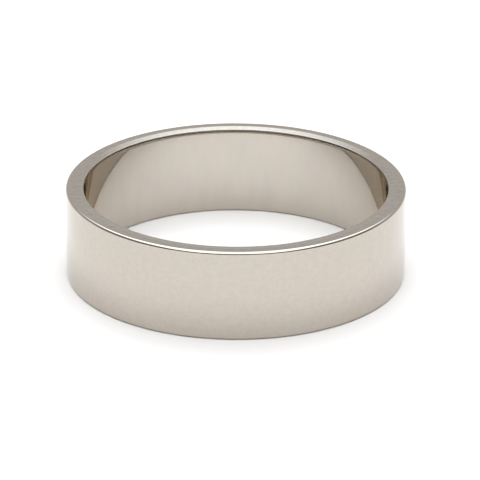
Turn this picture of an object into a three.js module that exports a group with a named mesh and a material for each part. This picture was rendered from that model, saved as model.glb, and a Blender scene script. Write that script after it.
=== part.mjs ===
// Wedding band: one seamless ring of polished white gold, with a flat outer wall and flat edges.
//
// Millimetres, +Z up. The band lies on one edge face: +Z is the finger axis, and the origin is
// the centre of the lower edge face, so the band stands on the plane Z = 0.
//
// The section is a tall rectangle, the same above and below. Each outer corner has a small round.
// From the flat of each edge face the metal leans down gently towards the bore. Where it meets
// the bore, the mouth of the bore flares open a little, so that the band slides over a knuckle.

import * as THREE from "three";

// Driving dimensions
const BORE_DIAMETER = 19.8; // finger size: 62 mm of inner circumference
const WALL_THICKNESS = 1.2; // from the bore to the outer wall
const BAND_WIDTH = 6.0; // along the finger
const OUTER_ROUND = 0.18; // radius between an edge face and the outer wall
const LEAN_ACROSS = 0.52; // width of the lean, measured across the wall
const LEAN_DEGREES = 6.5; // how far the lean tilts from the edge face
const FLARE_DEPTH = 0.28; // how far the flare reaches into the bore
const FLARE_DEGREES = 14; // how far the flare opens at its mouth, from the wall of the bore

// Fineness of the facets
const STEPS_AROUND = 96; // a multiple of 4, so that a corner lies on each of X and Y
const STEPS_PER_ARC = 5;

const BORE_RADIUS = BORE_DIAMETER / 2;
const OUTER_RADIUS = BORE_RADIUS + WALL_THICKNESS;
const QUARTER_TURN = Math.PI / 2;
const LEAN = (LEAN_DEGREES * Math.PI) / 180;
const FLARE = (FLARE_DEGREES * Math.PI) / 180;

// Points of an arc about (radius, drop), where drop is the depth below the edge face's plane.
// Angle 0 points away from the finger axis, and a quarter turn points out of the edge face.
function arc(radius, drop, size, from, to) {
  const points = [];
  for (let step = 0; step <= STEPS_PER_ARC; step += 1) {
    const angle = from + ((to - from) * step) / STEPS_PER_ARC;
    const x = radius + size * Math.cos(angle);
    const y = drop - size * Math.sin(angle);
    points.push(new THREE.Vector2(x, y));
  }
  return points;
}

// One edge of the band, from the outer wall over the edge face to the bore, as (radius, drop).
function edgeProfile() {
  const flareRadius = FLARE_DEPTH / Math.sin(FLARE);
  const leanEnd = BORE_RADIUS + flareRadius * (1 - Math.cos(FLARE));
  const flareBottom = LEAN_ACROSS * Math.tan(LEAN) + FLARE_DEPTH;
  return [
    ...arc(OUTER_RADIUS - OUTER_ROUND, OUTER_ROUND, OUTER_ROUND, 0, QUARTER_TURN),
    new THREE.Vector2(leanEnd + LEAN_ACROSS, 0),
    ...arc(
      BORE_RADIUS + flareRadius,
      flareBottom,
      flareRadius,
      2 * QUARTER_TURN - FLARE,
      2 * QUARTER_TURN,
    ),
  ];
}

// The closed section of the band, anticlockwise from the top of the outer wall.
function bandSection() {
  const upper = edgeProfile().map((point) => new THREE.Vector2(point.x, BAND_WIDTH - point.y));
  const lower = edgeProfile().reverse();
  return [...upper, ...lower, upper[0].clone()];
}

// The band: its section turned about the finger axis.
function makeBand() {
  const geometry = new THREE.LatheGeometry(bandSection(), STEPS_AROUND);
  geometry.rotateX(QUARTER_TURN); // LatheGeometry turns about Y: stand its axis along Z
  const whiteGold = new THREE.MeshStandardMaterial({
    color: 0xd5cec4,
    metalness: 1.0,
    roughness: 0.12,
  });
  const band = new THREE.Mesh(geometry, whiteGold);
  band.name = "band";
  return band;
}

const weddingBand = new THREE.Group();
weddingBand.add(makeBand());

export default weddingBand;
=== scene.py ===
"""A polished white gold wedding band, lying on one edge on a pale studio floor.

Metres, +Z up, in the frame of the CAD model. The band's one piece takes its size from the CAD
band and replaces it: the same section, finer, with its sharp corners broken and a real finish.
"""

import math

import bmesh
import bpy
from mathutils import Euler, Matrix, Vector


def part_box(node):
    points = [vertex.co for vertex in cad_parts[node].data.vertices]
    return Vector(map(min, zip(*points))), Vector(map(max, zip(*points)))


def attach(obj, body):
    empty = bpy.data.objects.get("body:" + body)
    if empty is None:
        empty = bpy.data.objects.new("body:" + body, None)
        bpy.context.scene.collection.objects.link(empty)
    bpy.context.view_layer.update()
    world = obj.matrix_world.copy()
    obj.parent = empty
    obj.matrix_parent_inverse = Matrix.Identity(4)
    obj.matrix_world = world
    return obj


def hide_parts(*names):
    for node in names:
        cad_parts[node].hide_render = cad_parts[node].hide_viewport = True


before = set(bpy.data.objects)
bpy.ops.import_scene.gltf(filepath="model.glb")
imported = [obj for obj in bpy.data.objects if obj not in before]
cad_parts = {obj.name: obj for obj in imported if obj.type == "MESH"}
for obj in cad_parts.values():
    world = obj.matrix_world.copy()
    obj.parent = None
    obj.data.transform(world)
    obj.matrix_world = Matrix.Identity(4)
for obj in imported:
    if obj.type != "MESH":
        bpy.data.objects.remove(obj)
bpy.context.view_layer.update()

MM = 0.001

# The band's size, read from the CAD band
BAND_LOW, BAND_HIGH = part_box("band")
OUTER_RADIUS = (BAND_HIGH[0] - BAND_LOW[0]) / 2
BAND_WIDTH = BAND_HIGH[2] - BAND_LOW[2]
BORE_RADIUS = min(math.hypot(v.co.x, v.co.y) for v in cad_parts["band"].data.vertices)

# The edge of the section, from the outer wall to the bore. A tilt is the angle between the
# surface and the flat of the edge face: 0 on the flat, and 90 on the wall of the bore.
OUTER_ROUND = 0.18 * MM  # radius between the edge face and the outer wall
LEAN_TILT = math.radians(6.5)  # the edge face leans down towards the bore
LEAN_ACROSS = 0.52 * MM
LEAN_START_ROUND = 0.26 * MM  # softens the step from the flat to the lean
MOUTH_ROUND = 0.03 * MM  # breaks the corner at the mouth of the bore
FLARE_TILT = math.radians(76)  # the mouth of the bore flares open
FLARE_DEPTH = 0.28 * MM
QUARTER_TURN = math.pi / 2

# Fineness of the band's mesh
STEPS_AROUND = 384  # a multiple of the CAD band's 96 sides
STEPS_PER_ARC = 16
STEPS_PER_FLAT = 8

# The camera: its place seen from the band, and its small turns off the band's middle
CAMERA_DISTANCE = 22.05 * OUTER_RADIUS
CAMERA_ELEVATION = math.radians(23.16)
CAMERA_YAW = math.radians(0.0649)
CAMERA_PITCH = math.radians(-0.1940)
CAMERA_ROLL = math.radians(0.25)
CAMERA_LENS = 280.34  # millimetres, on the default 36 mm sensor
CAMERA_CLIP_START = 0.01

# The metal, and its finish on each part of the band. The grain varies the colour by colour_spread,
# as a share of it, and the lines vary the roughness between two values and raise a slight bump.
WHITE_GOLD = (0.522, 0.478, 0.425)
NOISE_OCTAVES = 4
NOISE_SPAN = (0.3, 0.7)  # noise stays mostly within this span
LINE_SHARPNESS = 0.5
WALL_FINISH = {
    "name": "white_gold_wall",
    "metallic": 1.0,
    "grazing_tint": (0.95, 0.95, 0.95, 1),
    "colour_spread": 0.065,
    "grain": 0.35 * MM,
    "grain_sharpness": 0.9,
    "grain_stretch": (1.0, 1.0, 1.0),
    "roughness": (0.02, 0.06),
    "lines": 0.03 * MM,
    "line_stretch": (0.02, 0.02, 1.0),
    "line_depth": 0.00002 * MM,
}
BORE_FINISH = {
    "name": "white_gold_bore",
    "metallic": 0.94,  # scatters a little, so that its sides are never black
    "grazing_tint": (0.90, 0.84, 0.75, 1),
    "colour_spread": 0.03,
    "grain": 0.6 * MM,
    "grain_sharpness": 0.6,
    "grain_stretch": (1.0, 1.0, 0.3),
    "roughness": (0.02, 0.06),
    "lines": 0.05 * MM,
    "line_stretch": (1.0, 1.0, 0.02),
    "line_depth": 0.00002 * MM,
}
EDGE_FINISH = {
    "name": "white_gold_edge",
    "metallic": 1.0,
    "grazing_tint": (0.95, 0.95, 0.95, 1),
    "colour_spread": 0.16,
    "grain": 0.16 * MM,
    "grain_sharpness": 0.9,
    "grain_stretch": (0.4, 1.0, 1.0),
    "roughness": (0.04, 0.09),
    "lines": 0.04 * MM,
    "line_stretch": (0.05, 1.0, 1.0),
    "line_depth": 0.00004 * MM,
}

# The floor
FLOOR_SIDE = 2.0
FLOOR_COLOUR = (0.960, 0.916, 0.888)

# The studio light, as brightness by direction. A softbox hangs overhead: its fades are given
# along the room, away from and towards the camera, and to the side, as tangents from upright.
LOWEST_HEIGHT = 0.001  # keeps the tangents finite at the horizon and below it
SOFTBOX = (2.53, 2.72, 2.86)
SOFTBOX_FAR = (1.06, 1.92)
SOFTBOX_NEAR = (1.0, 1.25)
SOFTBOX_SIDE = (0.5, 1.0)
SOFTBOX_ROUNDING = 1.2  # how soon its far corners fade
SOFTBOX_MIDDLE = (1.70, 1.74, 1.78)  # dimmer straight overhead
SOFTBOX_MIDDLE_FADE = (0.15, 0.6)
BACKDROP = (0.659, 0.650, 0.639)  # the wall behind the band
SIDE_WALLS = (0.27, 0.245, 0.22)
ROOM = (0.170, 0.140, 0.095)  # the unlit room behind the camera
BACKDROP_FADE = (0.0, 0.7)  # from the side walls to the backdrop, along the room
ROOM_FADE = (-0.65, -0.1)  # from the room to the side walls
SWEEP = (1.2, 1.18, 1.16)  # the floor's far end, curving up at the horizon
SWEEP_FADE = (0.02, 0.03)

# The sockets of a mix node that carry colours
MIX_FIRST, MIX_SECOND, MIX_RESULT = 6, 7, 2


def shares_of_flat():
    """Shares of the way along a flat, closer together near both ends. The last one is 1."""
    turns = [math.pi * step / STEPS_PER_FLAT for step in range(1, STEPS_PER_FLAT + 1)]
    return [(1 - math.cos(turn)) / 2 for turn in turns]


def carry_arc(path, start, end, radius):
    """Carries a path of (across, down) points on round an arc, from one tilt to another."""
    across, down = path[-1]
    for step in range(1, STEPS_PER_ARC + 1):
        tilt = start + (end - start) * step / STEPS_PER_ARC
        path.append((
            across + radius * (math.sin(tilt) - math.sin(start)),
            down + radius * (math.cos(start) - math.cos(tilt)),
        ))


def carry_straight(path, tilt, across):
    """Carries a path on straight at one tilt, with its points closer together at both ends."""
    first_across, first_down = path[-1]
    for share in shares_of_flat():
        path.append((
            first_across + across * share,
            first_down + across * share * math.tan(tilt),
        ))


def edge_profile():
    """The edge from the outer wall over the flat to the bore, as (radius, drop) points."""
    flare_radius = FLARE_DEPTH / math.cos(FLARE_TILT)
    rounds = LEAN_START_ROUND * math.sin(LEAN_TILT)
    rounds += MOUTH_ROUND * (math.sin(FLARE_TILT) - math.sin(LEAN_TILT))
    bore_side = [(0.0, 0.0)]
    carry_arc(bore_side, 0.0, LEAN_TILT, LEAN_START_ROUND)
    carry_straight(bore_side, LEAN_TILT, LEAN_ACROSS - rounds)
    carry_arc(bore_side, LEAN_TILT, FLARE_TILT, MOUTH_ROUND)
    carry_arc(bore_side, FLARE_TILT, QUARTER_TURN, flare_radius)
    lean_start = BORE_RADIUS + bore_side[-1][0]
    profile = []
    for step in range(STEPS_PER_ARC + 1):
        angle = QUARTER_TURN * step / STEPS_PER_ARC
        profile.append((
            OUTER_RADIUS - OUTER_ROUND * (1 - math.cos(angle)),
            OUTER_ROUND * (1 - math.sin(angle)),
        ))
    flat_start = profile[-1][0]
    for share in shares_of_flat()[:-1]:
        profile.append((flat_start - (flat_start - lean_start) * share, 0.0))
    return profile + [(lean_start - across, down) for across, down in bore_side]


def wall_between(start, end):
    """Points between two ends of the section, closer together near both of them."""
    shares = shares_of_flat()[:-1]
    return [tuple(Vector(start).lerp(Vector(end), share)) for share in shares]


def band_section():
    """The closed section as (radius, height, finish): 0 outer wall, 1 edge face, 2 bore."""
    profile = edge_profile()
    mouth = len(profile) - STEPS_PER_ARC - 1
    finish = [0 if index < STEPS_PER_ARC else 1 for index in range(mouth)]
    finish += [2] * (len(profile) - mouth)
    upper = [(r, BAND_HIGH[2] - drop, kind) for (r, drop), kind in zip(profile, finish)]
    lower = [(r, BAND_LOW[2] + drop, kind) for (r, drop), kind in zip(profile, finish)]
    lower.reverse()
    bore = [(r, z, 2) for r, z in wall_between(upper[-1][:2], lower[0][:2])]
    outer = [(r, z, 0) for r, z in wall_between(lower[-1][:2], upper[0][:2])]
    return upper + bore + lower + outer


def make_band():
    """The band's mesh: its section turned about the finger axis, in three finishes."""
    section = band_section()
    mesh = bmesh.new()
    rings = []
    for step in range(STEPS_AROUND):
        angle = 2 * math.pi * step / STEPS_AROUND
        c, s = math.cos(angle), math.sin(angle)
        rings.append([mesh.verts.new((r * c, r * s, z)) for r, z, _ in section])
    for step in range(STEPS_AROUND):
        here, there = rings[step], rings[(step + 1) % STEPS_AROUND]
        for index, (_, _, kind) in enumerate(section):
            after = (index + 1) % len(section)
            face = mesh.faces.new((here[index], there[index], there[after], here[after]))
            face.material_index = max(kind, section[after][2])
            face.smooth = True
    bmesh.ops.recalc_face_normals(mesh, faces=mesh.faces)
    data = bpy.data.meshes.new("polished_band")
    mesh.to_mesh(data)
    mesh.free()
    piece = bpy.data.objects.new("polished_band", data)
    bpy.context.scene.collection.objects.link(piece)
    for finish in (WALL_FINISH, EDGE_FINISH, BORE_FINISH):
        data.materials.append(white_gold(finish))
    return piece


def map_range(tree, value, low, high):
    """Spreads a noise value between two other values."""
    node = tree.nodes.new("ShaderNodeMapRange")
    tree.links.new(value, node.inputs["Value"])
    node.inputs["From Min"].default_value, node.inputs["From Max"].default_value = NOISE_SPAN
    node.inputs["To Min"].default_value, node.inputs["To Max"].default_value = low, high
    return node.outputs[0]


def noise(tree, size, stretch, sharpness):
    """Noise with features of a given size in metres, longer where its stretch is below 1."""
    place = tree.nodes.new("ShaderNodeTexCoord")
    mapping = tree.nodes.new("ShaderNodeMapping")
    mapping.inputs["Scale"].default_value = [share / size for share in stretch]
    tree.links.new(place.outputs["Object"], mapping.inputs["Vector"])
    node = tree.nodes.new("ShaderNodeTexNoise")
    node.inputs["Scale"].default_value = 1.0
    node.inputs["Detail"].default_value = NOISE_OCTAVES
    node.inputs["Roughness"].default_value = sharpness
    tree.links.new(mapping.outputs["Vector"], node.inputs["Vector"])
    return node.outputs[0]


def white_gold(finish):
    """Polished white gold: a faint grain in its colour, and fine polishing lines in its gloss."""
    material = bpy.data.materials.new(finish["name"])
    material.use_nodes = True
    tree = material.node_tree
    shader = tree.nodes["Principled BSDF"]
    shader.inputs["Metallic"].default_value = finish["metallic"]
    shader.inputs["Specular Tint"].default_value = finish["grazing_tint"]

    grain = noise(tree, finish["grain"], finish["grain_stretch"], finish["grain_sharpness"])
    colour = tree.nodes.new("ShaderNodeMix")
    colour.data_type = "RGBA"
    tree.links.new(map_range(tree, grain, 0.0, 1.0), colour.inputs["Factor"])
    for index, sign in ((MIX_FIRST, -1), (MIX_SECOND, 1)):
        share = 1 + sign * finish["colour_spread"]
        colour.inputs[index].default_value = [share * value for value in WHITE_GOLD] + [1]
    tree.links.new(colour.outputs[MIX_RESULT], shader.inputs["Base Color"])

    lines = noise(tree, finish["lines"], finish["line_stretch"], LINE_SHARPNESS)
    tree.links.new(map_range(tree, lines, *finish["roughness"]), shader.inputs["Roughness"])
    bump = tree.nodes.new("ShaderNodeBump")
    bump.inputs["Strength"].default_value = 1.0
    bump.inputs["Distance"].default_value = finish["line_depth"]
    tree.links.new(lines, bump.inputs["Height"])
    tree.links.new(bump.outputs["Normal"], shader.inputs["Normal"])
    return material


def make_floor():
    """The plain pale floor under the band."""
    bpy.ops.mesh.primitive_plane_add(size=FLOOR_SIDE, location=(0, 0, BAND_LOW[2]))
    floor = bpy.context.object
    floor.name = "floor"
    material = bpy.data.materials.new("pale_floor")
    material.use_nodes = True
    shader = material.node_tree.nodes["Principled BSDF"]
    shader.inputs["Base Color"].default_value = (*FLOOR_COLOUR, 1)
    shader.inputs["Roughness"].default_value = 1.0
    shader.inputs["Specular IOR Level"].default_value = 0.0
    floor.data.materials.append(material)


def make_light():
    """The studio: a world that is as bright in each direction as the room around the band."""
    world = bpy.data.worlds.new("studio")
    bpy.context.scene.world = world
    world.use_nodes = True
    nodes, links = world.node_tree.nodes, world.node_tree.links

    def maths(operation, first, second=None):
        """One sum on one or two values, each a socket or a number."""
        node = nodes.new("ShaderNodeMath")
        node.operation = operation
        for socket, value in zip(node.inputs, (first, second)):
            if isinstance(value, (int, float)):
                socket.default_value = value
            elif value is not None:
                links.new(value, socket)
        return node.outputs[0]

    def length(first, second):
        """The length of a line with these two parts at right angles."""
        squares = maths("MULTIPLY", first, first), maths("MULTIPLY", second, second)
        return maths("SQRT", maths("ADD", *squares))

    def fade(value, span, low=1.0, high=0.0):
        """A smooth step from one level to another as a value crosses a span."""
        node = nodes.new("ShaderNodeMapRange")
        node.interpolation_type = "SMOOTHSTEP"
        links.new(value, node.inputs["Value"])
        node.inputs["From Min"].default_value, node.inputs["From Max"].default_value = span
        node.inputs["To Min"].default_value, node.inputs["To Max"].default_value = low, high
        return node.outputs[0]

    def blend(amount, first, second):
        """A mix of two colours, each a socket or a plain colour."""
        node = nodes.new("ShaderNodeMix")
        node.data_type = "RGBA"
        links.new(amount, node.inputs["Factor"])
        for index, value in ((MIX_FIRST, first), (MIX_SECOND, second)):
            if isinstance(value, tuple):
                node.inputs[index].default_value = (*value, 1)
            else:
                links.new(value, node.inputs[index])
        return node.outputs[MIX_RESULT]

    place = nodes.new("ShaderNodeTexCoord")
    axes = nodes.new("ShaderNodeSeparateXYZ")
    links.new(place.outputs["Generated"], axes.inputs[0])
    x, y, z = axes.outputs
    height = maths("MAXIMUM", z, LOWEST_HEIGHT)
    along = maths("DIVIDE", y, height)
    side = maths("DIVIDE", maths("ABSOLUTE", x), height)
    far = fade(length(along, maths("MULTIPLY", side, SOFTBOX_ROUNDING)), SOFTBOX_FAR)
    near = fade(maths("MULTIPLY", along, -1.0), SOFTBOX_NEAR)
    box = maths("MULTIPLY", maths("MULTIPLY", far, near), fade(side, SOFTBOX_SIDE))
    lamp = blend(fade(length(along, side), SOFTBOX_MIDDLE_FADE, 0, 1), SOFTBOX_MIDDLE, SOFTBOX)
    walls = blend(fade(y, BACKDROP_FADE, 0, 1), SIDE_WALLS, BACKDROP)
    walls = blend(fade(y, ROOM_FADE), walls, ROOM)
    room = blend(fade(z, SWEEP_FADE), walls, SWEEP)
    links.new(blend(box, room, lamp), nodes["Background"].inputs["Color"])


def make_camera():
    """The camera, in front of the band and above it."""
    data = bpy.data.cameras.new("camera")
    data.lens = CAMERA_LENS
    data.clip_start = CAMERA_CLIP_START
    camera = bpy.data.objects.new("camera", data)
    away = Vector((0, -math.cos(CAMERA_ELEVATION), math.sin(CAMERA_ELEVATION)))
    camera.location = Vector((0, 0, BAND_WIDTH / 2)) + CAMERA_DISTANCE * away
    aim = Euler((QUARTER_TURN - CAMERA_ELEVATION, 0, 0)).to_matrix()
    turn = Euler((CAMERA_PITCH, -CAMERA_YAW, 0)).to_matrix()
    roll = Euler((0, 0, CAMERA_ROLL)).to_matrix()
    camera.rotation_euler = (aim @ turn @ roll).to_euler()
    bpy.context.scene.collection.objects.link(camera)
    bpy.context.scene.camera = camera


make_camera()
make_floor()
make_light()
band = make_band()
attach(band, "root")
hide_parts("band")
bpy.context.scene.view_settings.view_transform = "Standard"
